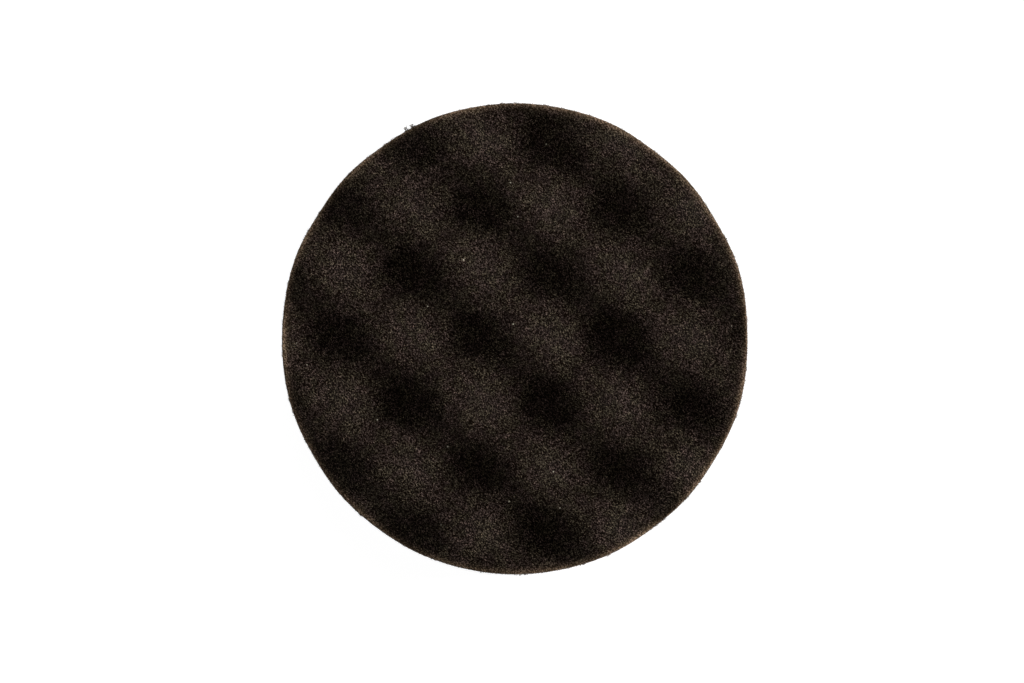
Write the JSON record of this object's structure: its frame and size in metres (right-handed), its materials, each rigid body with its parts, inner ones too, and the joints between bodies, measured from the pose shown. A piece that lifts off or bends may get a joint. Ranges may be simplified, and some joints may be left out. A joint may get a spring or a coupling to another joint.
{
  "type": "polishing pad",
  "caption": "Round open-cell foam polishing pad with a waffle face of rounded bumps and pits, glued to a loop fabric that grips a hook backing plate.",
  "frame": {"origin": "centre of the loop face, where the pad presses onto its backing plate", "axes": "+Z along the pad's axis, out of the waffle face; the waffle's rows run along X and Y, turned by half a degree"},
  "size_m": [0.15, 0.15, 0.0275],
  "materials": {
    "foam": "matte",
    "adhesive": "satin",
    "knit": "matte",
    "pile": "matte"
  },
  "bodies": {
    "root": {"foam_disc": "foam", "adhesive_film": "adhesive", "knit_ground": "knit", "loop_pile": "pile"}
  },
  "joints": []
}
